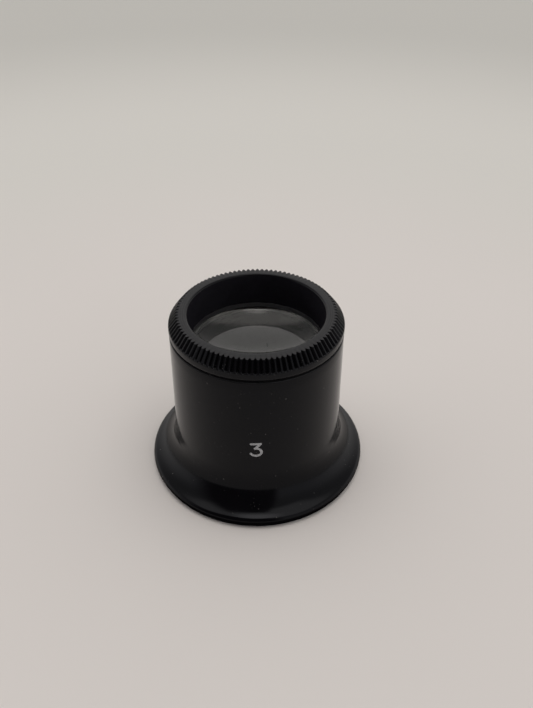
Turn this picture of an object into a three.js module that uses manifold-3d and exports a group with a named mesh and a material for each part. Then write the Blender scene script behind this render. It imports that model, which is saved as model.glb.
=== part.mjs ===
// A watchmaker's eye loupe: a moulded eyecup housing, a knurled ring that screws into its top,
// the single lens that the ring carries, and the split wire ring that keeps the lens in place.
// Millimetres, +Z up. The optical axis is Z, and the eyecup's rim rests on z = 0.
import * as THREE from "three";
import { mergeVertices } from "three/addons/utils/BufferGeometryUtils.js";
import Module from "manifold-3d";

// Driving dimensions

// Whole loupe
const overallHeight = 30.5;
const eyeRimDiameter = 38;

// Lens: two convex faces, about 60 mm of focal length in crown glass
const lensDiameter = 22.3;
const lensEdge = 2.7;
const lensUpperRadius = 79;
const lensLowerRadius = 50;

// Split wire ring under the lens
const wireDiameter = 0.8;
const wireGrooveDepth = 0.2;
const wireGrooveLand = 0.32;
const wireSplit = 2.6;

// Knurled ring: its head, and the threaded spigot that holds the lens
const headHeight = 3.1;
const headOverhang = 0.03;
const headTopLand = 1.82;
const headBevelDrop = 1.7;
const headUnderRound = 0.5;
const headEdgeRound = 0.4;
const bandEdgeRound = 0.8;
const spigotWall = 1.05;
const spigotChamfer = 0.3;
const lensStopWidth = 0.19;
const lensStopDepth = 2.6;

// Straight knurl on the head's bevel
const knurlTeeth = 99;
const knurlDepth = 0.3;
const knurlGrooveShare = 0.64;

// Eyecup housing
const threadWall = 1.6;
const threadShoulder = 0.4;
const mouthChamfer = 0.25;
const barrelTopRound = 0.2;
const barrelDraft = 0.26;
const rimThickness = 1.65;
const rimWidth = 1.8;
const rimUndercut = 0.63;
const rimTopRound = 0.8;
const rimFootRound = 0.3;
const flangeSlope = 0.395;
const flareRound = 5.3;
const neckStep = 1.35;
const neckHeight = 5.6;
const neckRound = 3.2;
const cupRecess = 2;
const cupRound = 5;

// Clearances
const seatGap = 0.3;
const threadClearance = 0.3;
const lensClearance = 0.1;
const lensSeatClearance = 0.1;
const wireClearance = 0.1;

// Fineness of round stretches
const chordError = 0.03;
const housingSegments = 90;
const lensSegments = 72;
const wireSides = 10;
const wireSteps = 48;

// Worked out from the driving dimensions: radii from the lens outwards
const lensRadius = lensDiameter / 2;
const lensPocket = lensRadius + lensClearance;
const ringBore = lensPocket - lensStopWidth;
const spigotRadius = lensPocket + spigotWall;
const threadBore = spigotRadius + threadClearance;
const barrelTopRadius = threadBore + threadWall;
const neckRadius = barrelTopRadius + barrelDraft;
const flareRadius = neckRadius + neckStep;
const barrelBore = threadBore - threadShoulder;
const headRadius = barrelTopRadius + headOverhang;
const rimRadius = eyeRimDiameter / 2;
const wireCentreRadius = lensPocket + wireGrooveDepth - wireClearance - wireDiameter / 2;

// The rim's side leans in towards its foot, and its upper edge is rounded. The sharp corner before
// rounding therefore stands a little outside the rim's full radius.
const rimSide = new THREE.Vector2(-rimUndercut, -rimThickness).normalize();
const flangeSide = new THREE.Vector2(-1, flangeSlope).normalize();
const rimInwards = rimSide.clone().add(flangeSide).normalize();
const rimHalfAngle = rimSide.angleTo(flangeSide) / 2;
const rimCorner = rimRadius - rimTopRound - (rimInwards.x * rimTopRound) / Math.sin(rimHalfAngle);

// Heights of the housing
const flareHeight = rimThickness + (rimCorner - flareRadius) * flangeSlope;
const barrelTop = overallHeight - headHeight - seatGap;
const ringSeat = barrelTop + seatGap;

// Heights in the ring's own frame, whose zero is the underside of its head. From the stop down come
// the lens's edge, the wire, which clears the bulge of the lens's lower face, and the spigot's end.
const lensTop = -lensStopDepth - lensSeatClearance;
const lensBottom = lensTop - lensEdge;
const lowerBulge =
  faceRise(lensLowerRadius, lensRadius) -
  faceRise(lensLowerRadius, wireCentreRadius - wireDiameter / 2);
const wireMiddle = lensBottom - lowerBulge - lensSeatClearance - wireDiameter / 2;
const grooveHalf = wireDiameter / 2 + wireClearance;
const spigotEnd = wireMiddle - grooveHalf - wireGrooveLand;

const wasm = await Module();
wasm.setup();

// How far a spherical face has bent away from its pole at a distance from the axis.
function faceRise(faceRadius, r) {
  return faceRadius - Math.sqrt(faceRadius ** 2 - r ** 2);
}

// A corner of a profile: distance from the axis, height, and the radius of the round that takes its point off.
function corner(r, z, round = 0) {
  return { point: new THREE.Vector2(r, z), round };
}

// The number of chords that keep an arc within the chord error.
function arcSteps(radius, angle) {
  const step = 2 * Math.acos(1 - Math.min(chordError / radius, 1));
  return Math.max(2, Math.ceil(angle / step));
}

// A closed outline through the corners, with an arc tangent to both sides at each round.
// Where two rounds need more than the side between them, both are drawn in until they fit.
function roundedOutline(corners) {
  const count = corners.length;
  const sides = corners.map(({ point }, i) => corners[(i + 1) % count].point.clone().sub(point));
  const halfAngles = sides.map((side, i) => {
    const back = sides[(i + count - 1) % count].clone().negate();
    return back.angleTo(side) / 2;
  });
  const reaches = corners.map(({ round }, i) => round / Math.tan(halfAngles[i]));
  const shares = sides.map((side, i) => {
    const wanted = reaches[i] + reaches[(i + 1) % count];
    return wanted > side.length() ? side.length() / wanted : 1;
  });
  const points = corners.flatMap(({ point, round }, i) => {
    if (!round) return [point.clone()];
    const last = (i + count - 1) % count;
    const reach = reaches[i] * Math.min(shares[last], shares[i]);
    const radius = reach * Math.tan(halfAngles[i]);
    const towardsLast = sides[last].clone().negate().normalize();
    const towardsNext = sides[i].clone().normalize();
    const start = point.clone().addScaledVector(towardsLast, reach);
    const inwards = towardsLast.clone().add(towardsNext).normalize();
    const centre = point.clone().addScaledVector(inwards, radius / Math.sin(halfAngles[i]));
    const sweep = Math.PI - 2 * halfAngles[i];
    const turn = Math.sign(towardsNext.cross(towardsLast)) * sweep;
    const steps = arcSteps(radius, sweep);
    return Array.from({ length: steps + 1 }, (_, n) =>
      start.clone().rotateAround(centre, (turn * n) / steps),
    );
  });
  return [...points, points[0].clone()];
}

// A profile turned round Z. The profile runs anticlockwise as seen with the axis at its left.
function revolve(profile, segments) {
  return new THREE.LatheGeometry(profile, segments).rotateX(Math.PI / 2);
}

// A closed geometry as a solid that can be cut.
function solidOf(geometry) {
  const bare = geometry.clone();
  bare.deleteAttribute("normal");
  bare.deleteAttribute("uv");
  const merged = mergeVertices(bare);
  return new wasm.Manifold(
    new wasm.Mesh({
      numProp: 3,
      vertProperties: merged.attributes.position.array,
      triVerts: new Uint32Array(merged.index.array),
    }),
  );
}

// A solid back as a geometry.
function geometryOf(solid) {
  const mesh = solid.getMesh();
  const geometry = new THREE.BufferGeometry();
  geometry.setAttribute("position", new THREE.BufferAttribute(mesh.vertProperties, 3));
  geometry.setIndex(new THREE.BufferAttribute(mesh.triVerts, 1));
  geometry.computeVertexNormals();
  return geometry;
}

function part(name, geometry, finish) {
  const mesh = new THREE.Mesh(geometry, new THREE.MeshStandardMaterial(finish));
  mesh.name = name;
  return mesh;
}

// Eyecup housing: a drafted barrel that flares into the flange held in the eye socket, tightly at
// the neck and then in a wider curve. Its wall follows the flare inside, and its top is bored out
// for the ring's thread, down to a stop shoulder.
// The thread of ring and housing is shown by its plain cylinders.
function eyecupHousing() {
  const shoulder = ringSeat + spigotEnd - seatGap;
  const profile = roundedOutline([
    corner(rimRadius - rimWidth, 0),
    corner(rimCorner - rimUndercut, 0, rimFootRound),
    corner(rimCorner, rimThickness, rimTopRound),
    corner(flareRadius, flareHeight, flareRound),
    corner(neckRadius, neckHeight, neckRound),
    corner(barrelTopRadius, barrelTop, barrelTopRound),
    corner(threadBore + mouthChamfer, barrelTop),
    corner(threadBore, barrelTop - mouthChamfer),
    corner(threadBore, shoulder),
    corner(barrelBore, shoulder),
    corner(barrelBore, cupRecess, cupRound),
  ]);
  return part("eyecup_housing", revolve(profile, housingSegments), {
    color: 0x141414,
    roughness: 0.42,
    metalness: 0,
  });
}

// The turned blank of the ring: head with a bevelled edge, and a spigot that is open below. The lens
// goes in from there, up to the stop at the end of the bore, and the groove below it takes the wire.
function ringBlank() {
  const profile = roundedOutline([
    corner(ringBore, headHeight, headEdgeRound),
    corner(ringBore, -lensStopDepth),
    corner(lensPocket, -lensStopDepth),
    corner(lensPocket, wireMiddle + grooveHalf),
    corner(lensPocket + wireGrooveDepth, wireMiddle + grooveHalf),
    corner(lensPocket + wireGrooveDepth, wireMiddle - grooveHalf),
    corner(lensPocket, wireMiddle - grooveHalf),
    corner(lensPocket, spigotEnd),
    corner(spigotRadius - spigotChamfer, spigotEnd),
    corner(spigotRadius, spigotEnd + spigotChamfer),
    corner(spigotRadius, 0),
    corner(headRadius, 0, headUnderRound),
    corner(headRadius, headHeight - headBevelDrop, bandEdgeRound),
    corner(ringBore + headTopLand, headHeight),
  ]);
  return solidOf(revolve(profile, knurlTeeth));
}

// One V groove of the knurl: a triangular prism laid along the bevel, with its edge below the surface.
// It runs past the bevel at both ends, so it breaks out through the top land and into the band.
function knurlGroove() {
  const top = new THREE.Vector2(ringBore + headTopLand, headHeight);
  const foot = new THREE.Vector2(headRadius, headHeight - headBevelDrop);
  const slope = foot.clone().sub(top);
  const pitch = (Math.PI * (top.x + foot.x)) / knurlTeeth;
  const halfWidth = (knurlGrooveShare * pitch) / 2;
  const proud = knurlDepth;
  const flare = (knurlDepth + proud) / knurlDepth;
  const section = new THREE.Shape([
    new THREE.Vector2(0, -knurlDepth),
    new THREE.Vector2(halfWidth * flare, proud),
    new THREE.Vector2(-halfWidth * flare, proud),
  ]);
  const overrun = 2 * knurlDepth;
  const length = slope.length() + 2 * overrun;
  const prism = new THREE.ExtrudeGeometry(section, { depth: length, bevelEnabled: false });
  prism.translate(0, 0, -overrun);
  const down = new THREE.Vector3(0, -slope.x, slope.y).normalize();
  const out = new THREE.Vector3(0, slope.y, slope.x).normalize();
  const across = new THREE.Vector3().crossVectors(out, down);
  prism.applyMatrix4(new THREE.Matrix4().makeBasis(across, out, down));
  return prism.translate(0, -top.x, top.y);
}

// Knurled lens ring: the blank with its grooves cut one by one round the bevel.
function knurledLensRing() {
  const groove = knurlGroove();
  let ring = ringBlank();
  for (let tooth = 0; tooth < knurlTeeth; tooth += 1) {
    const turned = groove.clone().rotateZ((2 * Math.PI * tooth) / knurlTeeth);
    ring = ring.subtract(solidOf(turned));
  }
  return part("knurled_lens_ring", geometryOf(ring), {
    color: 0x121212,
    roughness: 0.4,
    metalness: 0,
  });
}

// One face of the lens, from the axis out to the edge: radius, and height above the pole.
function lensFace(faceRadius) {
  const halfAngle = Math.asin(lensRadius / faceRadius);
  const steps = arcSteps(faceRadius, halfAngle) + 2;
  return Array.from({ length: steps + 1 }, (_, n) => {
    const r = faceRadius * Math.sin((halfAngle * n) / steps);
    return new THREE.Vector2(r, faceRise(faceRadius, r));
  });
}

// Lens: two spherical faces and a ground edge, in the ring's frame.
function lens() {
  const lowerPole = lensBottom - faceRise(lensLowerRadius, lensRadius);
  const upperPole = lensTop + faceRise(lensUpperRadius, lensRadius);
  const lower = lensFace(lensLowerRadius).map(({ x, y }) => new THREE.Vector2(x, lowerPole + y));
  const upper = lensFace(lensUpperRadius).map(({ x, y }) => new THREE.Vector2(x, upperPole - y));
  return part("lens", revolve([...lower, ...upper.reverse()], lensSegments), {
    color: 0xe8eeec,
    roughness: 0.02,
    metalness: 0,
    transparent: true,
    opacity: 0.35,
  });
}

// A level arc about Z, open at the front by the given gap.
class OpenRing extends THREE.Curve {
  constructor(radius, gap) {
    super();
    this.radius = radius;
    this.halfGap = gap / 2 / radius;
  }

  getPoint(t, target = new THREE.Vector3()) {
    const sweep = 2 * (Math.PI - this.halfGap);
    const angle = this.halfGap + sweep * t - Math.PI / 2;
    return target.set(this.radius * Math.cos(angle), this.radius * Math.sin(angle), 0);
  }
}

// Split wire ring: round spring wire, sprung into the groove just below the lens.
function lensSnapRing() {
  const section = new THREE.Shape().absarc(0, 0, wireDiameter / 2, 0, 2 * Math.PI);
  const wire = new THREE.ExtrudeGeometry(section, {
    curveSegments: wireSides / 2,
    steps: wireSteps,
    extrudePath: new OpenRing(wireCentreRadius, wireSplit),
  });
  const mesh = part("lens_snap_ring", wire, { color: 0x1c1c1c, roughness: 0.35, metalness: 0.6 });
  mesh.position.z = wireMiddle;
  return mesh;
}

// The ring and what it carries, standing on the housing's top.
const lensUnit = new THREE.Group();
lensUnit.add(knurledLensRing(), lens(), lensSnapRing());
lensUnit.position.z = ringSeat;

const loupe = new THREE.Group();
loupe.add(eyecupHousing(), lensUnit);

export default loupe;
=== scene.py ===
# %% [markdown]
# A watchmaker's loupe, dressed in Blender.
#
# The loupe is four pieces: an eyecup housing, a knurled ring that screws into its top, a thick convex lens
# that stands against a stop inside that ring, and a split wire ring that keeps it there. Their solids come
# from CAD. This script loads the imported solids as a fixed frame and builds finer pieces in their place:
# turned meshes with real threads and teeth, a printed power mark, glass that bends light, and black plastic
# with a little dust.
#
# Every object is in metres, in the frame of the solids: +Z runs up the optical axis, -Y faces the camera.

import math

import bpy
import numpy as np
from mathutils import Matrix, Vector


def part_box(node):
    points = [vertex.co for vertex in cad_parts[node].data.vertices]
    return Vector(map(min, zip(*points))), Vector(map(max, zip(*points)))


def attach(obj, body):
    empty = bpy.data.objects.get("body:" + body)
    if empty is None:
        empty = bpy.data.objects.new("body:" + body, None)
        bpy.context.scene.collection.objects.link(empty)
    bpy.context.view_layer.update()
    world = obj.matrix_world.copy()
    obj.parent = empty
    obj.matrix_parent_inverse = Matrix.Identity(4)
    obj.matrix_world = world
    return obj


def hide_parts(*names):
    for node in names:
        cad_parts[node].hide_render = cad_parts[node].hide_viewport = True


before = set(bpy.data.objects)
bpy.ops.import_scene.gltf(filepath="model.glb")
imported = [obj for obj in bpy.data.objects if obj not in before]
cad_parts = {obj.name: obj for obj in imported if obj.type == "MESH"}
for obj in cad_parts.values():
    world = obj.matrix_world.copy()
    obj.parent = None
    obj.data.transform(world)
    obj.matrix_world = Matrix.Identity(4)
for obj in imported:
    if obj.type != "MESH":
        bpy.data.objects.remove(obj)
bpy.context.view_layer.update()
print("CAD nodes:", sorted(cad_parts))

# %% [markdown]
# The sizes that the solids show are read from their boxes, so the dressed pieces always fit the packed
# model. Turned pieces have a point straight ahead at -Y, so that side of a box is the radius. The rim is the
# widest of all, and it takes the box's slightly smaller X side, so that the finer rim stays inside the CAD
# box. Small inner sizes can't be read from a box. They are named where a piece needs them, in millimetres,
# as on a maker's drawing.

# %% Read the main sizes
MM = 0.001


def extent(node):
    """Lowest and highest corner of a CAD node, in millimetres."""
    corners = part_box(node)
    return [Vector([round(side / MM, 3) for side in corner]) for corner in corners]


housing_low, housing_high = extent("eyecup_housing")
ring_low, ring_high = extent("knurled_lens_ring")
lens_low, lens_high = extent("lens")
wire_low, wire_high = extent("lens_snap_ring")

rim_radius = housing_high.x
barrel_top = housing_high.z
head_radius = -ring_low.y
ring_top = ring_high.z
spigot_end = ring_low.z
lens_radius = lens_high.y
print(f"rim {2 * rim_radius} mm, head {2 * head_radius} mm, lens {2 * lens_radius} mm")
print(f"height {ring_top} mm")

# %% [markdown]
# The camera comes early, because every later choice is judged through it. Its place was found by fitting the
# circles of the rim, the ring and the bore to the photograph: it looks along +Y and down by about 38 degrees,
# from a little over 13 cm away. That close, perspective is strong, so a camera that is merely turned the
# right way would still draw the rim and the ring in the wrong proportion.

# %% Set up the camera
FRAME_WIDTH = 533
FRAME_HEIGHT = 708
FOCAL_PIXELS = 698.67
SENSOR_MM = 36.0
CAMERA_PLACE = Vector((1.623, -92.71, 93.14)) * MM
CAMERA_PITCH = math.radians(37.62)
CAMERA_ROLL = math.radians(0.156)

camera_data = bpy.data.cameras.new("loupe_camera")
camera_data.sensor_width = SENSOR_MM
camera_data.lens = FOCAL_PIXELS * SENSOR_MM / max(FRAME_WIDTH, FRAME_HEIGHT)
camera_data.clip_start = 0.005
camera_data.clip_end = 20.0
camera = bpy.data.objects.new("loupe_camera", camera_data)
tilt = Matrix.Rotation(math.pi / 2 - CAMERA_PITCH, 4, "X") @ Matrix.Rotation(CAMERA_ROLL, 4, "Z")
camera.matrix_world = Matrix.Translation(CAMERA_PLACE) @ tilt
bpy.context.collection.objects.link(camera)
bpy.context.scene.camera = camera
print(f"camera lens {camera_data.lens:.2f} mm")

# %% [markdown]
# Both the shapes and the finishes below are rules, such as "a groove every 99th of a turn" or "a speck in
# some of the cells". Blender writes rules as node trees, and long trees are hard to read in code. A small
# class helps: it wraps the output of a node, and arithmetic on it adds Math nodes, so that a rule reads as a
# formula. A second class holds the tree and makes any other node, with its settings first and its sockets
# after them.

# %% Write node trees as formulas
class Value:
    """The output of a node. Arithmetic on it adds Math nodes to its tree."""

    def __init__(self, nodes, socket):
        self.nodes = nodes
        self.socket = socket

    def out(self, name):
        """Another output of the same node."""
        return Value(self.nodes, self.socket.node.outputs[name])

    def apply(self, operation, *others):
        """A Math operation on this value, such as FRACT or ABSOLUTE."""
        operands = dict(enumerate((self, *others)))
        return self.nodes.add("ShaderNodeMath", {"operation": operation}, operands)

    def __add__(self, other):
        return self.apply("ADD", other)

    def __radd__(self, other):
        return self.apply("ADD", other)

    def __sub__(self, other):
        return self.apply("SUBTRACT", other)

    def __rsub__(self, other):
        return self.nodes.add("ShaderNodeMath", {"operation": "SUBTRACT"}, {0: other, 1: self})

    def __mul__(self, other):
        return self.apply("MULTIPLY", other)

    def __rmul__(self, other):
        return self.apply("MULTIPLY", other)

    def __truediv__(self, other):
        return self.apply("DIVIDE", other)

    def __rtruediv__(self, other):
        return self.nodes.add("ShaderNodeMath", {"operation": "DIVIDE"}, {0: other, 1: self})

    def __gt__(self, other):
        return self.apply("GREATER_THAN", other)

    def __lt__(self, other):
        return self.apply("LESS_THAN", other)


class Nodes:
    """A node tree that is being written."""

    def __init__(self, tree):
        self.tree = tree

    def add(self, kind, settings=None, inputs=None, output=0):
        """Makes a node: its settings are set first, then the values or links of its sockets."""
        node = self.tree.nodes.new(kind)
        for name, setting in (settings or {}).items():
            setattr(node, name, setting)
        for name, value in (inputs or {}).items():
            if isinstance(value, Value):
                self.tree.links.new(value.socket, node.inputs[name])
            else:
                node.inputs[name].default_value = value
        return Value(self, node.outputs[output]) if node.outputs else None

    def ramp(self, value, start, end):
        """0 below start and 1 above end, with a smooth step between. End may be the lower one."""
        limits = {"Value": value, "From Min": start, "From Max": end}
        return self.add("ShaderNodeMapRange", {"interpolation_type": "SMOOTHSTEP"}, limits)

    def mix(self, factor, first, second):
        """A colour between two colours."""
        return self.add("ShaderNodeMix", {"data_type": "RGBA"}, {0: factor, 6: first, 7: second}, output=2)

    def vector(self, operation, inputs, output=0):
        """A Vector Math operation."""
        return self.add("ShaderNodeVectorMath", {"operation": operation}, inputs, output)


print("node formulas ready")

# %% [markdown]
# Every finish on the loupe is a pattern laid on the real surface: dust, wear, frost. A painted texture would
# need unwrapped surfaces. Noise and cells on object coordinates need none, and they keep their real scale on
# every piece.
#
# Dust is a Voronoi pattern: each cell has one point at most, and only some cells are let through, so the
# specks lie far apart and differ in size.

# %% Lay specks and clouds by rule
def new_material(name):
    """An empty node material and its tree."""
    material = bpy.data.materials.new(name)
    material.use_nodes = True
    material.node_tree.nodes.clear()
    return material, Nodes(material.node_tree)


def dust_specks(nodes, place, spacing, radius, share):
    """A mask with a soft round speck in a share of the cells. Sizes are in millimetres."""
    pattern = {"Vector": place, "Scale": 1 / (spacing * MM), "Randomness": 1.0}
    from_speck = nodes.add("ShaderNodeTexVoronoi", {"feature": "F1"}, pattern, output="Distance")
    lot = nodes.add("ShaderNodeSeparateColor", inputs={"Color": from_speck.out("Color")}, output="Red")
    reach = (lot.out("Green") * 0.8 + 0.5) * (radius / spacing)
    return nodes.ramp(from_speck / reach, 1.0, 0.6) * (lot < share)


def cloudy(nodes, place, size, detail):
    """Noise from 0 to 1 whose patches are about this many millimetres across."""
    pattern = {"Vector": place, "Scale": 1 / (size * MM), "Detail": detail}
    return nodes.add("ShaderNodeTexNoise", inputs=pattern, output="Fac")


def from_axis(nodes, place):
    """The arrow that leads from the axis straight out to a place, and its length in millimetres."""
    arrow = nodes.vector("MULTIPLY", {0: place, 1: (1, 1, 0)})
    return arrow, nodes.vector("LENGTH", {0: arrow}, output="Value") / MM


print("patterns ready")

# %% [markdown]
# The housing and the ring are moulded in the same black plastic. It looks plain, but three things tell it
# from a flat black: a fine spark-eroded grain that spreads each reflection, patches that fingers have
# polished, and grey dust, of which the finest has gathered here and there. A top face that was cut on a lathe
# is greyer, with faint turning marks, and those are a sine of the distance from the axis.
#
# In the ring's bore the black is matt. Low on the rim it turns matt too, a painted shade where it meets the
# floor. A Mix Shader changes there to a Diffuse shader, because a Principled one always keeps some gloss.

# %% Mix the black plastic
DUST_GREY = (0.07, 0.068, 0.065, 1.0)
CUT_GREY = (0.022, 0.022, 0.0235, 1.0)
CUT_LIGHT = (0.037, 0.037, 0.0385, 1.0)
SHEEN = (0.89, 0.92, 1.0, 1.0)
TURNING_PITCH = 0.36
GRAIN_HEIGHT = 0.02
FINE_DUST_STRENGTH = 0.45


def black_plastic(name, black, worn_black, roughness, ior, grain_depth, speck_share, cut_height,
                  matt_and_shade_black, matt_radius, painted_shade_height):
    """Black plastic with a turned face at the cut height, matt inside a radius, and matt with a painted shade
    below a height.
    """
    material, nodes = new_material(name)
    place = nodes.add("ShaderNodeTexCoord", output="Object")
    height = nodes.add("ShaderNodeSeparateXYZ", inputs={0: place}, output="Z") / MM
    radius = from_axis(nodes, place)[1]
    cut = nodes.ramp(height, cut_height - 0.05, cut_height - 0.01)
    in_bore = nodes.ramp(radius, matt_radius + 0.05, matt_radius)
    # Below this height the gloss gives way to matt black: a painted shade low on the rim.
    painted_shade_at_foot = nodes.ramp(height, painted_shade_height + 0.1, painted_shade_height - 0.1)

    handled = cloudy(nodes, place, size=4.0, detail=3.0)
    streaked = cloudy(nodes, place, size=0.6, detail=2.0)
    rubbed = nodes.ramp(handled * 0.7 + streaked * 0.3, 0.35, 0.7)
    rings = (radius * math.tau / TURNING_PITCH).apply("SINE") * 0.5
    turned_face = nodes.mix(nodes.ramp(rings + streaked, 0.3, 1.2), CUT_GREY, CUT_LIGHT)
    plain = nodes.mix(cut, nodes.mix(rubbed, black, worn_black), turned_face)

    dust = dust_specks(nodes, place, spacing=1.5, radius=0.13, share=speck_share)
    fine_dust = dust_specks(nodes, place, spacing=0.45, radius=0.10, share=speck_share)
    gathered = nodes.ramp(cloudy(nodes, place, size=2.5, detail=1.0), 0.52, 0.60)
    specks = dust.apply("MAXIMUM", fine_dust * gathered * FINE_DUST_STRENGTH)

    grain = cloudy(nodes, place, size=0.09, detail=2.0)
    bumps = {"Height": grain, "Strength": grain_depth, "Distance": GRAIN_HEIGHT * MM}
    surface = nodes.add("ShaderNodeBsdfPrincipled", inputs={
        "Base Color": nodes.mix(specks, plain, DUST_GREY),
        "Roughness": roughness + (rubbed - 0.5) * 0.05 + specks * 0.3 + cut * 0.15,
        "IOR": ior,
        "Specular Tint": SHEEN,
        "Normal": nodes.add("ShaderNodeBump", inputs=bumps),
    })
    # Matt black in the bore, and painted shade at the foot of the rim.
    matt_and_shade_tone = nodes.mix(rubbed * 0.25, matt_and_shade_black, black)
    matt = nodes.add("ShaderNodeBsdfDiffuse", inputs={"Color": matt_and_shade_tone})
    covered = {0: in_bore.apply("MAXIMUM", painted_shade_at_foot), 1: surface, 2: matt}
    whole = nodes.add("ShaderNodeMixShader", inputs=covered)
    nodes.add("ShaderNodeOutputMaterial", inputs={"Surface": whole})
    return material


# The matt black below 1.4 mm is a painted shade on the low rim.
housing_plastic = black_plastic(
    "housing_plastic", black=(0.0010, 0.0009, 0.0015, 1), worn_black=(0.0016, 0.0014, 0.0020, 1),
    roughness=0.14, ior=1.26, grain_depth=0.03, speck_share=0.5, cut_height=barrel_top,
    matt_and_shade_black=(0.0042, 0.0039, 0.0047, 1), matt_radius=0, painted_shade_height=1.4)
print("made", housing_plastic.name)

# %% [markdown]
# The housing is a turned shape, although it is moulded: one outline spun round the axis gives the barrel,
# the flare, the rim and the hollow cup behind them. A Screw modifier could spin a drawn edge, but here the
# mesh is written ring by ring, so that the number of points follows the need: arcs are fine, plain walls are
# coarse, and the stretch that will carry a thread gets a point about every tenth of a millimetre.

# %% Turn an outline into a closed mesh
ARC_STEP = math.radians(5)
SHORTEST_STEP = 0.06


def corner_arc(before, corner, after, rounding):
    """The points that round one corner of an outline, or the bare corner."""
    if not rounding:
        return [corner]
    back = (before - corner).normalized()
    ahead = (after - corner).normalized()
    half = back.angle(ahead) / 2
    centre = corner + (back + ahead).normalized() * rounding / math.sin(half)
    first = corner + back * rounding / math.tan(half) - centre
    sweep = math.copysign(math.pi - 2 * half, ahead.cross(back))
    steps = math.ceil(min(abs(sweep) / ARC_STEP, abs(sweep) * rounding / SHORTEST_STEP))
    return [centre + Matrix.Rotation(sweep * step / steps, 2) @ first for step in range(steps + 1)]


def rounded_outline(corners):
    """Points of a closed outline from corners (radius, height, rounding, spacing to the next corner)."""
    spots = [Vector(corner[:2]) for corner in corners]
    after = spots[1:] + spots[:1]
    arcs = [corner_arc(spots[i - 1], spots[i], after[i], corners[i][2]) for i in range(len(spots))]
    points = []
    for arc, next_arc, corner in zip(arcs, arcs[1:] + arcs[:1], corners):
        points += arc
        steps = math.ceil((next_arc[0] - arc[-1]).length / corner[3]) if corner[3] else 1
        points += [arc[-1].lerp(next_arc[0], step / steps) for step in range(1, steps)]
    return points


def turned(name, outline, segments):
    """A closed mesh: the outline, in millimetres, turned round Z from the side that faces -Y."""
    count = len(outline)
    radius, height = np.array(outline).T
    angle = np.arange(segments) * math.tau / segments
    points = np.empty((segments, count, 3))
    points[..., 0] = np.outer(np.sin(angle), radius)
    points[..., 1] = -np.outer(np.cos(angle), radius)
    points[..., 2] = height
    here = np.arange(segments * count).reshape(segments, count)
    beside = np.roll(here, -1, axis=0)
    corners = (here, beside, np.roll(beside, -1, axis=1), np.roll(here, -1, axis=1))
    quads = np.stack(corners, axis=-1).reshape(-1, 4)
    mesh = bpy.data.meshes.new(name)
    mesh.from_pydata((points * MM).reshape(-1, 3).tolist(), [], quads.tolist())
    return mesh


print(f"arcs turn by {math.degrees(ARC_STEP):.0f} degrees a step at most")

# %% [markdown]
# The outline runs from the foot of the rim out and up over its edge, along the flare to the barrel, and back
# down through the bore and the cup. The flare gives this loupe its look. A single arc would meet the straight
# barrel abruptly, and glossy black shows that as a kink in what it mirrors. So three arcs touch one another:
# a wide one that leaves the barrel softly, a tighter one at the neck, and one that bends back over the rim.

# %% Draw the outline of the housing
BORE_RADIUS = 12.6
MOUTH_RADIUS = 12.85
MOUTH_DEPTH = 0.25
CUP_RADIUS = 12.2
CUP_FLOOR = 2.0
CUP_ROUND = 5.0
BARREL_RADIUS = 14.2
BARREL_TOP_ROUND = 0.12
BARREL_FOOT = Vector((14.455, 7.31))
FOOT_ROUND = 11.0
NECK = Vector((14.925, 5.096))
NECK_ROUND = 5.7
FLARE = Vector((16.5, 2.727))
FLARE_ROUND = 5.6
RIM_INNER_RADIUS = 17.2
RIM_HEIGHT = 1.65
RIM_UNDERCUT = 0.63
RIM_TOP_ROUND = 0.8
RIM_FOOT_ROUND = 0.3
RIM_CORNER_CUT = 0.225
SHOULDER_GAP = 0.3
THREAD_STEP = 0.115
WALL_STEP = 2.0
HOUSING_SEGMENTS = 288

rim_corner = rim_radius + RIM_CORNER_CUT
stop_shoulder = spigot_end - SHOULDER_GAP
housing_outline = rounded_outline([
    (RIM_INNER_RADIUS, 0, 0, 0),
    (rim_corner - RIM_UNDERCUT, 0, RIM_FOOT_ROUND, 0),
    (rim_corner, RIM_HEIGHT, RIM_TOP_ROUND, 0),
    (FLARE.x, FLARE.y, FLARE_ROUND, 0),
    (NECK.x, NECK.y, NECK_ROUND, 0),
    (BARREL_FOOT.x, BARREL_FOOT.y, FOOT_ROUND, WALL_STEP),
    (BARREL_RADIUS, barrel_top, BARREL_TOP_ROUND, 0),
    (MOUTH_RADIUS, barrel_top, 0, 0),
    (BORE_RADIUS, barrel_top - MOUTH_DEPTH, 0, THREAD_STEP),
    (BORE_RADIUS, stop_shoulder, 0, 0),
    (CUP_RADIUS, stop_shoulder, 0, WALL_STEP),
    (CUP_RADIUS, CUP_FLOOR, CUP_ROUND, 0),
])
housing_blank = turned("housing_blank", housing_outline, HOUSING_SEGMENTS)
print("housing blank:", len(housing_blank.polygons), "faces from", len(housing_outline), "outline points")

# %% [markdown]
# A shape that follows a rule is made by Geometry Nodes. Each such tree starts alike, with a blank mesh and a
# named input for each size, and it ends alike: instances become real faces, because the export drops
# instances, and the faces get their material. Between the two, points are moved, and for turned pieces that
# takes the radius, the height and the angle of each point.

# %% Start and end a tree for shapes
def shape_tree(name, sizes):
    """A Geometry Nodes tree with a geometry input and one named number input for each size."""
    tree = bpy.data.node_groups.new(name, "GeometryNodeTree")
    tree.interface.new_socket("Geometry", in_out="INPUT", socket_type="NodeSocketGeometry")
    tree.interface.new_socket("Geometry", in_out="OUTPUT", socket_type="NodeSocketGeometry")
    for size in sizes:
        tree.interface.new_socket(size, in_out="INPUT", socket_type="NodeSocketFloat")
    nodes = Nodes(tree)
    blank = nodes.add("NodeGroupInput", output="Geometry")
    return nodes, blank, {size: blank.out(size) for size in sizes}


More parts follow.
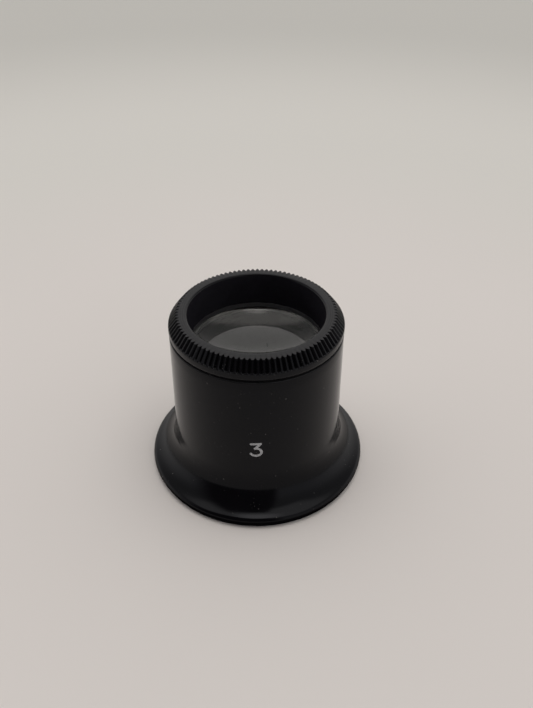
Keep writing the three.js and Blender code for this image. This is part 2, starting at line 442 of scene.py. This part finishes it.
def round_the_axis(nodes):
    """A point's radius and height in millimetres, its angle from -Y, and its direction from the axis."""
    place = nodes.add("GeometryNodeInputPosition")
    along = nodes.add("ShaderNodeSeparateXYZ", inputs={0: place}, output="X")
    height = along.out("Z") / MM
    angle = along.apply("ARCTAN2", 0 - along.out("Y"))
    arrow, radius = from_axis(nodes, place)
    outward = nodes.vector("NORMALIZE", {0: arrow})
    return radius, height, angle, outward


def moved(nodes, geometry, direction, millimetres):
    """The geometry with each point moved along a direction."""
    shift = nodes.vector("SCALE", {0: direction, "Scale": millimetres * MM})
    return nodes.add("GeometryNodeSetPosition", inputs={"Geometry": geometry, "Offset": shift})


def finish_tree(nodes, geometry, material):
    """Ends a tree: real faces only, with their material."""
    real = nodes.add("GeometryNodeRealizeInstances", inputs={"Geometry": geometry})
    painted = nodes.add("GeometryNodeSetMaterial", inputs={"Geometry": real, "Material": material})
    nodes.add("NodeGroupOutput", inputs={"Geometry": painted})


print("shape trees ready")

# %% [markdown]
# A tree is run by a modifier. The result is then stored as a plain mesh and the modifier removed, because
# the exported model keeps meshes and not recipes. Edges that turn by more than 32 degrees are marked sharp,
# so that the land and the shoulders shade crisply while the arcs shade smoothly.

# %% Run a tree and keep its mesh
SHARP_EDGE = math.radians(32)


def grown(name, nodes, blank, sizes):
    """Runs a tree on a blank mesh with these sizes and keeps the result as a plain mesh object."""
    piece = bpy.data.objects.new(name, blank)
    bpy.context.collection.objects.link(piece)
    recipe = piece.modifiers.new(name, "NODES")
    recipe.node_group = nodes.tree
    for item in nodes.tree.interface.items_tree:
        if item.in_out == "INPUT" and item.name in sizes:
            recipe[item.identifier] = sizes[item.name]
    graph = bpy.context.evaluated_depsgraph_get()
    result = piece.evaluated_get(graph)
    mesh = bpy.data.meshes.new_from_object(result, preserve_all_data_layers=True, depsgraph=graph)
    piece.modifiers.remove(recipe)
    piece.data = mesh
    mesh.name = name
    mesh.shade_smooth()
    mesh.set_sharp_from_angle(angle=SHARP_EDGE)
    triangles = sum(len(face.vertices) - 2 for face in mesh.polygons)
    print(f"{name}: {triangles} triangles")
    return piece


print(f"edges over {math.degrees(SHARP_EDGE):.0f} degrees stay sharp")

# %% [markdown]
# The ring screws in by a right-hand thread. It could be cut with a boolean and a swept helix, which is slow
# and leaves thin faces. Geometry Nodes can instead move the points of a plain bore in or out by a rule: the
# height of a thread at a point depends only on its height above the start and its angle round the axis, in
# turns. One trapezoid wave of that number is the whole thread. The bore and the spigot share the wave, so the
# two threads interleave with a tenth of a millimetre between them, and they stay so as the ring climbs by one
# pitch a turn. At both ends the thread fades out.

# %% Thread the bore of the housing
THREAD_PITCH = 0.75
THREAD_DEPTH = 0.35
FLANK_START = 0.28
FLANK_END = 0.72
THREAD_FADE = 0.4
SAME_RADIUS = 0.01


def thread_wave(nodes, height, angle, pitch):
    """0 at the root and 1 at the crest of the spigot's thread."""
    turns = (height / pitch - angle / math.tau).apply("FRACT")
    wave = (turns - 0.5).apply("ABSOLUTE") * 2
    return nodes.ramp(wave, FLANK_START, FLANK_END)


def thread_length(nodes, height, foot, top):
    """1 along the thread, fading to 0 at its foot and at its top."""
    return nodes.ramp(height - foot, 0, THREAD_FADE) * nodes.ramp(top - height, 0, THREAD_FADE)


bore_sizes = {
    "Bore radius": BORE_RADIUS,
    "Thread pitch": THREAD_PITCH,
    "Thread depth": THREAD_DEPTH,
    "Thread foot": stop_shoulder + 0.2,
    "Thread mouth": barrel_top - 0.3,
}
nodes, blank, size = shape_tree("threaded_bore", bore_sizes)
radius, height, angle, outward = round_the_axis(nodes)
on_bore = (radius - size["Bore radius"]).apply("ABSOLUTE") < SAME_RADIUS
run_in = thread_length(nodes, height, size["Thread foot"], size["Thread mouth"])
inwards = (thread_wave(nodes, height, angle, size["Thread pitch"]) - 1) * size["Thread depth"]
threaded = moved(nodes, blank, outward, inwards * run_in * on_bore)
finish_tree(nodes, threaded, housing_plastic)
eyecup = grown("threaded_eyecup_housing", nodes, housing_blank, bore_sizes)

# %% [markdown]
# The ring is the piece that the hand turns. Its head has a flat land on top, a bevel with 99 fine straight
# teeth, and a smooth band below them. Inside are the bore, the stop and the seat of the lens and the groove
# for the wire, and below the head is the threaded spigot. All of that but the teeth and the thread is one
# more turned outline. Each tooth gets eight columns of points, enough for a crisp V.

# %% Draw the outline of the ring
RING_BORE = 11.06
BORE_EDGE_ROUND = 0.4
LENS_SEAT = 11.25
LENS_STOP = 24.8
GROOVE_RADIUS = 11.45
GROOVE_HALF = 0.5
SPIGOT_RADIUS = 12.3
SPIGOT_CHAMFER = 0.3
HEAD_UNDERSIDE = 27.4
HEAD_UNDER_ROUND = 0.5
BAND_TOP = 28.8
BAND_ROUND = 0.8
LAND_EDGE = 12.88
BORE_STEP = 1.5
BAND_STEP = 0.3
BEVEL_STEP = 0.24
LAND_STEP = 0.08
TEETH = 99
POINTS_PER_TOOTH = 8
GROOVE_DEPTH = 0.40

bevel = Vector((head_radius - LAND_EDGE, BAND_TOP - ring_top)).normalized()
bevel_out = -bevel.y
bevel_up = bevel.x
breakthrough = LAND_EDGE - GROOVE_DEPTH / bevel_out
wire_height = (wire_low.z + wire_high.z) / 2
ring_outline = rounded_outline([
    (RING_BORE, ring_top, BORE_EDGE_ROUND, BORE_STEP),
    (RING_BORE, LENS_STOP, 0, 0),
    (LENS_SEAT, LENS_STOP, 0, BORE_STEP),
    (LENS_SEAT, wire_height + GROOVE_HALF, 0, 0),
    (GROOVE_RADIUS, wire_height + GROOVE_HALF, 0, 0),
    (GROOVE_RADIUS, wire_height - GROOVE_HALF, 0, 0),
    (LENS_SEAT, wire_height - GROOVE_HALF, 0, 0),
    (LENS_SEAT, spigot_end, 0, 0),
    (SPIGOT_RADIUS - SPIGOT_CHAMFER, spigot_end, 0, 0),
    (SPIGOT_RADIUS, spigot_end + SPIGOT_CHAMFER, 0, THREAD_STEP),
    (SPIGOT_RADIUS, HEAD_UNDERSIDE, 0, 0),
    (head_radius, HEAD_UNDERSIDE, HEAD_UNDER_ROUND, BAND_STEP),
    (head_radius, BAND_TOP, BAND_ROUND, BEVEL_STEP),
    (LAND_EDGE, ring_top, 0, LAND_STEP),
    (breakthrough, ring_top, 0, 0),
])
ring_blank = turned("ring_blank", ring_outline, segments=TEETH * POINTS_PER_TOOTH)
print("ring blank:", len(ring_blank.polygons), "faces from", len(ring_outline), "outline points")

# %% [markdown]
# The ring has the housing's plastic, but the tool that shaped it left a coarser grain, so it is duller. Its
# land is a turned face, and its bore is matt, to keep stray light off the lens.

# %% Mix the plastic of the ring
ring_plastic = black_plastic(
    "ring_plastic", black=(0.0024, 0.0023, 0.0030, 1), worn_black=(0.0036, 0.0034, 0.0042, 1),
    roughness=0.24, ior=1.265, grain_depth=0.08, speck_share=0.4, cut_height=ring_top,
    matt_and_shade_black=(0.018, 0.0172, 0.0215, 1), matt_radius=RING_BORE, painted_shade_height=0)
print("made", ring_plastic.name)

# %% [markdown]
# The teeth could be copies of one tooth joined to a ring. As a rule they are simpler: the angle times 99
# gives each tooth a number from 0 to 1, and a V of that number says how deep the groove lies below the bevel.
# Every point that lies higher than that is pressed down to it. So the groove breaks out through the land,
# which gives the land its scalloped edge. At its lower end the groove rises to the surface just above the
# band. The same tree then threads the spigot, whose thread stands out where the bore's thread is cut in.

# %% Knurl and thread the ring
GROOVE_MOUTH = 0.75
GROOVE_RUN_OUT = 0.45
KNURL_FOOT = 28.62
THREAD_ROOT = 0.15

ring_sizes = {
    "Teeth": TEETH,
    "Groove depth": GROOVE_DEPTH,
    "Groove mouth": GROOVE_MOUTH,
    "Land edge": LAND_EDGE,
    "Land height": ring_top,
    "Knurl foot": KNURL_FOOT,
    "Spigot radius": SPIGOT_RADIUS,
    "Thread pitch": THREAD_PITCH,
    "Thread depth": THREAD_DEPTH,
    "Thread foot": spigot_end + 0.4,
    "Thread top": HEAD_UNDERSIDE - 0.2,
}
nodes, blank, size = shape_tree("knurled_and_threaded_ring", ring_sizes)
radius, height, angle, outward = round_the_axis(nodes)

tooth = (angle * size["Teeth"] / math.tau + 0.5).apply("FRACT")
from_groove = (tooth - 0.5).apply("ABSOLUTE") * 2
groove = (1 - from_groove / size["Groove mouth"]).apply("MAXIMUM", 0)
groove_end = nodes.ramp(height - size["Knurl foot"], 0.0, GROOVE_RUN_OUT)
above_bevel = bevel_out * (radius - size["Land edge"]) + bevel_up * (height - size["Land height"])
into_bevel = (groove * groove_end * size["Groove depth"] + above_bevel).apply("MAXIMUM", 0) * -1
bevel_normal = nodes.vector("MULTIPLY_ADD", {
    0: outward, 1: (bevel_out, bevel_out, 0), 2: (0, 0, bevel_up)})
knurled = moved(nodes, blank, bevel_normal, into_bevel)

on_spigot = (radius - size["Spigot radius"]).apply("ABSOLUTE") < SAME_RADIUS
run_out = thread_length(nodes, height, size["Thread foot"], size["Thread top"])
crest = thread_wave(nodes, height, angle, size["Thread pitch"]) * run_out
threaded = moved(nodes, knurled, outward, (crest * size["Thread depth"] - THREAD_ROOT) * on_spigot)
finish_tree(nodes, threaded, ring_plastic)
lens_ring = grown("knurled_screw_ring", nodes, ring_blank, ring_sizes)

# %% [markdown]
# The lens is one thick convex glass, flatter above than below, with a ground edge. It is turned like the
# other pieces, from two shallow arcs that meet the axis. A sphere primitive cut flat would do for a rough
# lens, but the two radii decide how it bends the view, so they are written as on an optician's drawing.

# %% Grind the lens
UPPER_FACE_RADIUS = 79.0
LOWER_FACE_RADIUS = 50.0
EDGE_BEVEL = 0.05
ARC_POINTS = 36
LENS_SEGMENTS = 192


def face_drop(face_radius, radius):
    """How far a lens face has curved away from its pole at a radius."""
    return face_radius - math.sqrt(face_radius ** 2 - radius ** 2)


lower_face = []
upper_face = []
for step in range(ARC_POINTS + 1):
    spot = (lens_radius - EDGE_BEVEL) * step / ARC_POINTS
    lower_face.append(Vector((spot, lens_low.z + face_drop(LOWER_FACE_RADIUS, spot))))
    upper_face.insert(0, Vector((spot, lens_high.z - face_drop(UPPER_FACE_RADIUS, spot))))
edge_low = lower_face[-1] + Vector((EDGE_BEVEL, EDGE_BEVEL))
edge_high = upper_face[0] + Vector((EDGE_BEVEL, -EDGE_BEVEL))
lens_outline = lower_face + [edge_low, edge_high] + upper_face
lens_blank = turned("lens_blank", lens_outline, LENS_SEGMENTS)
print(f"lens edge {edge_high.y - edge_low.y:.2f} mm, middle {lens_high.z - lens_low.z:.2f} mm thick")

# %% [markdown]
# Clear glass is more than a transparent colour: it bends the view, and both of its faces mirror the sky
# through the ring's opening. The Principled shader does both once its transmission is full and its IOR is
# that of crown glass. The ground edge is dull, so the shader changes to a plain matt one near the lens's full
# radius, and a few specks of dust use that same matt shader.

# %% Melt the glass
CLEAR = (0.98, 0.985, 0.98, 1)
SMEARED = (0.96, 0.965, 0.96, 1)
LENS_DUST = (0.30, 0.29, 0.27, 1)
FROST_GREY = (0.11, 0.11, 0.118, 1)
FROST_LIGHT = (0.20, 0.20, 0.205, 1)
CROWN_GLASS_IOR = 1.52

lens_glass, nodes = new_material("lens_glass")
place = nodes.add("ShaderNodeTexCoord", output="Object")
radius = from_axis(nodes, place)[1]
ground = nodes.ramp(radius, lens_radius - EDGE_BEVEL, lens_radius - EDGE_BEVEL / 2)
specks = dust_specks(nodes, place, spacing=2.6, radius=0.12, share=0.3)
smear = nodes.ramp(cloudy(nodes, place, size=3.0, detail=3.0), 0.45, 0.8)
glass = nodes.add("ShaderNodeBsdfPrincipled", inputs={
    "Base Color": nodes.mix(smear, CLEAR, SMEARED),
    "Roughness": 0.0,
    "IOR": CROWN_GLASS_IOR,
    "Transmission Weight": 1.0,
})
frost = nodes.mix(cloudy(nodes, place, size=0.4, detail=3.0), FROST_GREY, FROST_LIGHT)
matt = nodes.add("ShaderNodeBsdfDiffuse", inputs={"Color": nodes.mix(ground, LENS_DUST, frost)})
cover = ground.apply("MAXIMUM", specks * 0.5)
lens_surface = nodes.add("ShaderNodeMixShader", inputs={0: cover, 1: glass, 2: matt})
nodes.add("ShaderNodeOutputMaterial", inputs={"Surface": lens_surface})
print("made", lens_glass.name)

# %% [markdown]
# Both arcs end on the axis, so the turned blank has a whole ring of points at each pole, all in one place.
# Left so, the mesh would have slits there and glass would show them. Merge by Distance makes each ring one
# point, and the lens is closed.

# %% Close the poles of the lens
lens_sizes = {"Pole merge": 0.001}
nodes, blank, size = shape_tree("closed_lens", lens_sizes)
whole = nodes.add("GeometryNodeMergeByDistance", inputs={
    "Geometry": blank, "Distance": size["Pole merge"] * MM})
finish_tree(nodes, whole, lens_glass)
lens = grown("convex_lens", nodes, lens_blank, lens_sizes)

# %% [markdown]
# A split ring of spring wire snaps into the groove just below the lens. Spring wire is blackened by heat and
# oil, which leaves a thin dark skin over bare steel. The skin wears through in spots, so one noise drives
# both the colour and the metal of the surface, and a finer one gives the marks of drawing.

# %% Blacken the spring wire
WIRE_BLACK = (0.018, 0.018, 0.02, 1)
WIRE_WORN = (0.07, 0.068, 0.066, 1)

blackened_wire, nodes = new_material("blackened_wire")
place = nodes.add("ShaderNodeTexCoord", output="Object")
worn = nodes.ramp(cloudy(nodes, place, size=0.7, detail=4.0), 0.45, 0.75)
drawn = cloudy(nodes, place, size=0.12, detail=2.0)
bumps = {"Height": drawn, "Strength": 0.1, "Distance": 0.01 * MM}
steel = nodes.add("ShaderNodeBsdfPrincipled", inputs={
    "Base Color": nodes.mix(worn, WIRE_BLACK, WIRE_WORN),
    "Metallic": worn * 0.6,
    "Roughness": 0.38 + drawn * 0.15,
    "Normal": nodes.add("ShaderNodeBump", inputs=bumps),
})
nodes.add("ShaderNodeOutputMaterial", inputs={"Surface": steel})
print("made", blackened_wire.name)

# %% [markdown]
# The snap ring is a path with a round section, which is what Curve to Mesh sweeps: an arc that leaves a small
# gap at the front, with a circle as its profile. A torus would have no gap. The wire's radius shrinks over
# its last bit at both ends, as on wire that has been cut and tumbled.

# %% Bend the snap ring
WIRE_DIAMETER = 0.8
WIRE_SPLIT = 2.6
WIRE_STEPS = 180
WIRE_SIDES = 16

wire_middle = wire_high.y - WIRE_DIAMETER / 2
half_gap = WIRE_SPLIT / 2 / wire_middle
wire_sizes = {
    "Wire radius": WIRE_DIAMETER / 2 * MM,
    "Ring radius": wire_middle * MM,
    "Ring height": wire_height * MM,
    "Start angle": -math.pi / 2 + half_gap,
    "Sweep angle": math.tau - 2 * half_gap,
}
nodes, blank, size = shape_tree("split_wire_ring", wire_sizes)
arc = nodes.add("GeometryNodeCurveArc", inputs={
    "Resolution": WIRE_STEPS + 1, "Radius": size["Ring radius"],
    "Start Angle": size["Start angle"], "Sweep Angle": size["Sweep angle"]})
along = nodes.add("GeometryNodeSplineParameter", output="Factor")
from_end = (0.5 - (along - 0.5).apply("ABSOLUTE")) * WIRE_STEPS
tumbled = nodes.ramp(from_end, -0.6, 1.2)
rounded = nodes.add("GeometryNodeSetCurveRadius", inputs={"Curve": arc, "Radius": tumbled})
section = nodes.add("GeometryNodeCurvePrimitiveCircle", inputs={
    "Resolution": WIRE_SIDES, "Radius": size["Wire radius"]})
sweep = nodes.add("GeometryNodeCurveToMesh", inputs={
    "Curve": rounded, "Profile Curve": section, "Fill Caps": True})
lift = nodes.add("ShaderNodeCombineXYZ", inputs={"Z": size["Ring height"]})
raised = nodes.add("GeometryNodeTransform", inputs={"Geometry": sweep, "Translation": lift})
finish_tree(nodes, raised, blackened_wire)
snap_ring = grown("split_snap_wire", nodes, bpy.data.meshes.new("wire_blank"), wire_sizes)

# %% [markdown]
# The barrel carries one printed mark, a plain 3 for the power of the lens. Blender's own font has a
# round-topped 3, and this one has a flat top, so the mark is drawn as a pen would: first a path, of two
# straight strokes and a bowl, and later a width of stroke along it. The path is a mesh of edges that stands
# upright on the XZ plane.

# %% Draw the path of the power mark
TOP_LEFT = Vector((-0.76, 2.72))
TOP_RIGHT = Vector((0.74, 2.78))
WAIST = Vector((-0.14, 1.78))
BOWL_CENTRE = Vector((-0.02, 1.02))
BOWL_RADII = Vector((0.89, 0.80))
BOWL_START = math.radians(98)
BOWL_END = math.radians(-153)
BOWL_STEPS = 40

pen_path = [TOP_LEFT, TOP_RIGHT, WAIST]
for step in range(BOWL_STEPS + 1):
    turn = BOWL_START + (BOWL_END - BOWL_START) * step / BOWL_STEPS
    bowl = Vector((math.cos(turn) * BOWL_RADII.x, math.sin(turn) * BOWL_RADII.y))
    pen_path.append(BOWL_CENTRE + bowl)
mark_path = bpy.data.meshes.new("power_mark_path")
mark_path.from_pydata(
    [(point.x * MM, 0, point.y * MM) for point in pen_path],
    [(index, index + 1) for index in range(len(pen_path) - 1)], [])
print("power mark path:", len(pen_path), "points")

# %% [markdown]
# The mark is pad printed in white ink, which lies so thin that black shows through in places. A fine noise
# darkens those, and the ink is a little rougher there.

# %% Mix the white ink
INK_WHITE = (0.44, 0.45, 0.47, 1)
INK_THIN = (0.26, 0.265, 0.28, 1)

mark_ink, nodes = new_material("mark_ink")
place = nodes.add("ShaderNodeTexCoord", output="Object")
thin = nodes.ramp(cloudy(nodes, place, size=0.18, detail=3.0), 0.55, 0.85)
ink = nodes.add("ShaderNodeBsdfPrincipled", inputs={
    "Base Color": nodes.mix(thin, INK_WHITE, INK_THIN),
    "Roughness": 0.5 + thin * 0.15,
    "IOR": 1.46,
})
nodes.add("ShaderNodeOutputMaterial", inputs={"Surface": ink})
print("made", mark_ink.name)

# %% [markdown]
# The printed sheet starts as a fine flat grid. Geometry Proximity measures how far each of its points is from
# the pen's path. Points beyond the stroke are deleted, and those at its edge slide onto the exact outline, so
# the grid leaves no steps. The sheet is then given the thickness of ink and wrapped round the barrel, which
# is a cone by a hair: X becomes an angle, and the radius follows the barrel's draft.

# %% Print the mark on the barrel
MARK_HEIGHT = 12.08
STROKE_WIDTH = 0.43
GRID_PITCH = 0.04
GRID_COLUMNS = 64
GRID_ROWS = 88
SHEET_MIDDLE = 1.45
INK_THICKNESS = 0.02
INK_SUNK = 0.004
INK_MERGE = 0.0005
DROP_BEYOND = 0.6
TRIM_FROM = 0.45

barrel_slope = (BARREL_FOOT.x - BARREL_RADIUS) / (barrel_top - BARREL_FOOT.y)
mark_sizes = {
    "Half stroke": STROKE_WIDTH / 2 * MM,
    "Grid pitch": GRID_PITCH * MM,
    "Ink thickness": INK_THICKNESS * MM,
    "Mark height": MARK_HEIGHT * MM,
    "Barrel radius": (BARREL_FOOT.x - barrel_slope * (MARK_HEIGHT - BARREL_FOOT.y)) * MM,
    "Barrel slope": barrel_slope,
}
nodes, blank, size = shape_tree("printed_power_mark", mark_sizes)
sheet = nodes.add("GeometryNodeMeshGrid", inputs={
    "Size X": GRID_COLUMNS * size["Grid pitch"], "Size Y": GRID_ROWS * size["Grid pitch"],
    "Vertices X": GRID_COLUMNS + 1, "Vertices Y": GRID_ROWS + 1})
upright = nodes.add("GeometryNodeTransform", inputs={
    "Geometry": sheet, "Translation": (0, 0, SHEET_MIDDLE * MM), "Rotation": (math.pi / 2, 0, 0)})

nearest = nodes.add("GeometryNodeProximity", {"target_element": "EDGES"}, {0: blank}, output="Position")
distance = nearest.out("Distance")
beyond = distance > size["Half stroke"] + DROP_BEYOND * size["Grid pitch"]
inked = nodes.add("GeometryNodeDeleteGeometry", {"domain": "POINT"}, {
    "Geometry": upright, "Selection": beyond})
place = nodes.add("GeometryNodeInputPosition")
from_path = nodes.vector("SUBTRACT", {0: place, 1: nearest})
half_stroke = nodes.vector("SCALE", {0: from_path, "Scale": size["Half stroke"] / distance})
on_edge = nodes.vector("ADD", {0: nearest, 1: half_stroke})
edge_points = distance > size["Half stroke"] - TRIM_FROM * size["Grid pitch"]
trimmed = nodes.add("GeometryNodeSetPosition", inputs={
    "Geometry": inked, "Selection": edge_points, "Position": on_edge})

thick = nodes.add("GeometryNodeExtrudeMesh", {"mode": "FACES"}, {
    "Mesh": trimmed, "Offset Scale": size["Ink thickness"], "Individual": False}, output="Mesh")
back = nodes.add("GeometryNodeFlipFaces", inputs={"Mesh": trimmed})
joined = nodes.add("GeometryNodeJoinGeometry", inputs={"Geometry": thick})
nodes.tree.links.new(back.socket, joined.socket.node.inputs["Geometry"])
closed = nodes.add("GeometryNodeMergeByDistance", inputs={
    "Geometry": joined, "Distance": INK_MERGE * MM})

place = nodes.add("GeometryNodeInputPosition")
across = nodes.add("ShaderNodeSeparateXYZ", inputs={0: place}, output="X")
rise = across.out("Z")
skin = size["Barrel radius"] - rise * size["Barrel slope"] - across.out("Y") - INK_SUNK * MM
turn = across / size["Barrel radius"]
wrapped = nodes.add("ShaderNodeCombineXYZ", inputs={
    "X": skin * turn.apply("SINE"),
    "Y": 0 - skin * turn.apply("COSINE"),
    "Z": rise + size["Mark height"]})
printed = nodes.add("GeometryNodeSetPosition", inputs={"Geometry": closed, "Position": wrapped})
finish_tree(nodes, printed, mark_ink)
power_mark = grown("printed_power_mark", nodes, mark_path, mark_sizes)

# %% [markdown]
# Each piece now takes the place of its solid and rides on the body that carries it. The lens and the ring
# travel together when the ring is unscrewed, and the mark stays on the housing.

# %% Put the pieces on their bodies
for piece, body, node, finish in (
    (eyecup, "housing", "eyecup_housing", "housing_plastic"),
    (lens_ring, "lens_ring", "knurled_lens_ring", "ring_plastic"),
    (lens, "lens", "lens", "lens_glass"),
    (snap_ring, "lens_ring", "lens_snap_ring", "blackened_wire"),
):
    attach(piece, body)
    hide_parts(node)
    print(piece.name, "rides on", body)
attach(power_mark, "housing")

# %% [markdown]
# The loupe stands on a plain pale floor, like a sheet of warm white card. The card is faintly mottled. Its
# colour also holds painted light: a cooler tint a hand's width away, and a painted shade farther out, where
# the light falls off. One large square is enough: the distance from the loupe gives both changes by rule.

# %% Lay the floor
PAPER = (0.802, 0.768, 0.747, 1)
PAPER_LIGHT = (0.822, 0.788, 0.767, 1)
PAPER_PAINTED_COOL_LIGHT = (0.773, 0.763, 0.731, 1)
PAPER_PAINTED_SHADE = (0.631, 0.627, 0.599, 1)
COOL_FROM = 0.06
COOL_TO = 0.16
FADE_FROM = 0.165
FADE_TO = 0.335
FLOOR_REACH = 3.0

floor_paint, nodes = new_material("pale_floor")
place = nodes.add("ShaderNodeTexCoord", output="Object")
mottled = cloudy(nodes, place, size=60.0, detail=3.0)
away = nodes.vector("LENGTH", {0: place}, output="Value")
near_tone = nodes.mix(mottled, PAPER, PAPER_LIGHT)
# A cooler tint with distance: painted light on the card.
cooled = nodes.mix(nodes.ramp(away, COOL_FROM, COOL_TO), near_tone, PAPER_PAINTED_COOL_LIGHT)
paper = nodes.add("ShaderNodeBsdfPrincipled", inputs={
    # Farther out a painted shade darkens the card.
    "Base Color": nodes.mix(nodes.ramp(away, FADE_FROM, FADE_TO), cooled, PAPER_PAINTED_SHADE),
    "Roughness": 0.85 + mottled * 0.05,
    "Specular IOR Level": 0.05,
})
nodes.add("ShaderNodeOutputMaterial", inputs={"Surface": paper})

floor_mesh = bpy.data.meshes.new("pale_floor")
floor_corners = [(x * FLOOR_REACH, y * FLOOR_REACH, 0) for x, y in ((-1, -1), (1, -1), (1, 1), (-1, 1))]
floor_mesh.from_pydata(floor_corners, [], [(0, 1, 2, 3)])
floor_mesh.materials.append(floor_paint)
floor = bpy.data.objects.new("pale_floor", floor_mesh)
bpy.context.collection.objects.link(floor)
print("floor", 2 * FLOOR_REACH, "m wide")

# %% [markdown]
# Black plastic has almost no colour of its own, so what it shows is the room. Lamps and cards could be placed
# round the loupe as objects. A world shader is simpler: it paints the room by the direction of each ray. The
# walls are pale, darker in front than behind, and they fade towards the floor and the top. A straight-edged
# panel of bright ceiling hangs overhead, with a lamp in its middle. One dark patch of the wall in front is
# what the flare mirrors as a dark window. The room's soft light leaves only a thin shadow under the rim.
#
# The camera itself sees none of this room, but a plain backdrop in the tone of the far floor.

# %% Light the room
BACK_WALL = (1.12, 1.085, 1.055, 1)
FRONT_WALL = (0.70, 0.68, 0.68, 1)
FLOOR_SWEEP = (0.62, 0.60, 0.58, 1)
WALL_HEAD = (0.52, 0.51, 0.495, 1)
CEILING = (1.38, 1.33, 1.27, 1)
LAMP = (3.4, 3.26, 3.14, 1)
BACKDROP = (0.486, 0.469, 0.436, 1)
DARK_PATCH = (0.11, 0.10, 0.105, 1)
PATCH_LEFT = math.radians(-67)
PATCH_LEFT_SOFT = math.radians(17)
PATCH_RIGHT = math.radians(22)
PATCH_RIGHT_SOFT = math.radians(4)
PATCH_FOOT = math.sin(math.radians(0.5))
PATCH_FOOT_SOFT = 0.03
PATCH_HEAD = math.sin(math.radians(75.5))
PATCH_HEAD_SOFT = 0.01

world = bpy.data.worlds.new("soft_room")
world.use_nodes = True
world.node_tree.nodes.clear()
nodes = Nodes(world.node_tree)
look = nodes.add("ShaderNodeTexCoord", output="Generated")
along = nodes.add("ShaderNodeSeparateXYZ", inputs={0: look}, output="X")
height = along.out("Z")
bearing = along.apply("ARCTAN2", 0 - along.out("Y"))

walls = nodes.mix(nodes.ramp(bearing.apply("COSINE"), -0.55, 0.85), BACK_WALL, FRONT_WALL)
swept = nodes.mix(nodes.ramp(height, 0.0, 0.16), FLOOR_SWEEP, walls)
shaded = nodes.mix(nodes.ramp(height, 0.32, 0.71), swept, WALL_HEAD)

level = height.apply("MAXIMUM", 0.05)
across_panel = nodes.ramp(along.apply("ABSOLUTE") / level, 0.75, 0.50)
along_panel = nodes.ramp(along.out("Y").apply("ABSOLUTE") / level, 0.55, 0.35)
under_ceiling = nodes.mix(across_panel * along_panel, shaded, CEILING)
room = nodes.mix(nodes.ramp(height, 0.972, 0.9985), under_ceiling, LAMP)

from_left = nodes.ramp(bearing, PATCH_LEFT - PATCH_LEFT_SOFT, PATCH_LEFT + PATCH_LEFT_SOFT)
from_right = nodes.ramp(bearing, PATCH_RIGHT + PATCH_RIGHT_SOFT, PATCH_RIGHT - PATCH_RIGHT_SOFT)
below_head = nodes.ramp(height, PATCH_HEAD + PATCH_HEAD_SOFT, PATCH_HEAD - PATCH_HEAD_SOFT)
above_foot = nodes.ramp(height, PATCH_FOOT - PATCH_FOOT_SOFT, PATCH_FOOT + PATCH_FOOT_SOFT)
patch = from_left * from_right * below_head * above_foot
surroundings = nodes.mix(patch, room, DARK_PATCH)

in_view = nodes.add("ShaderNodeLightPath", output="Is Camera Ray")
sky = nodes.add("ShaderNodeBackground", inputs={"Color": nodes.mix(in_view, surroundings, BACKDROP)})
nodes.add("ShaderNodeOutputWorld", inputs={"Surface": sky})
bpy.context.scene.world = world
bpy.context.scene.view_settings.view_transform = "Standard"
print("room lit by", world.name)
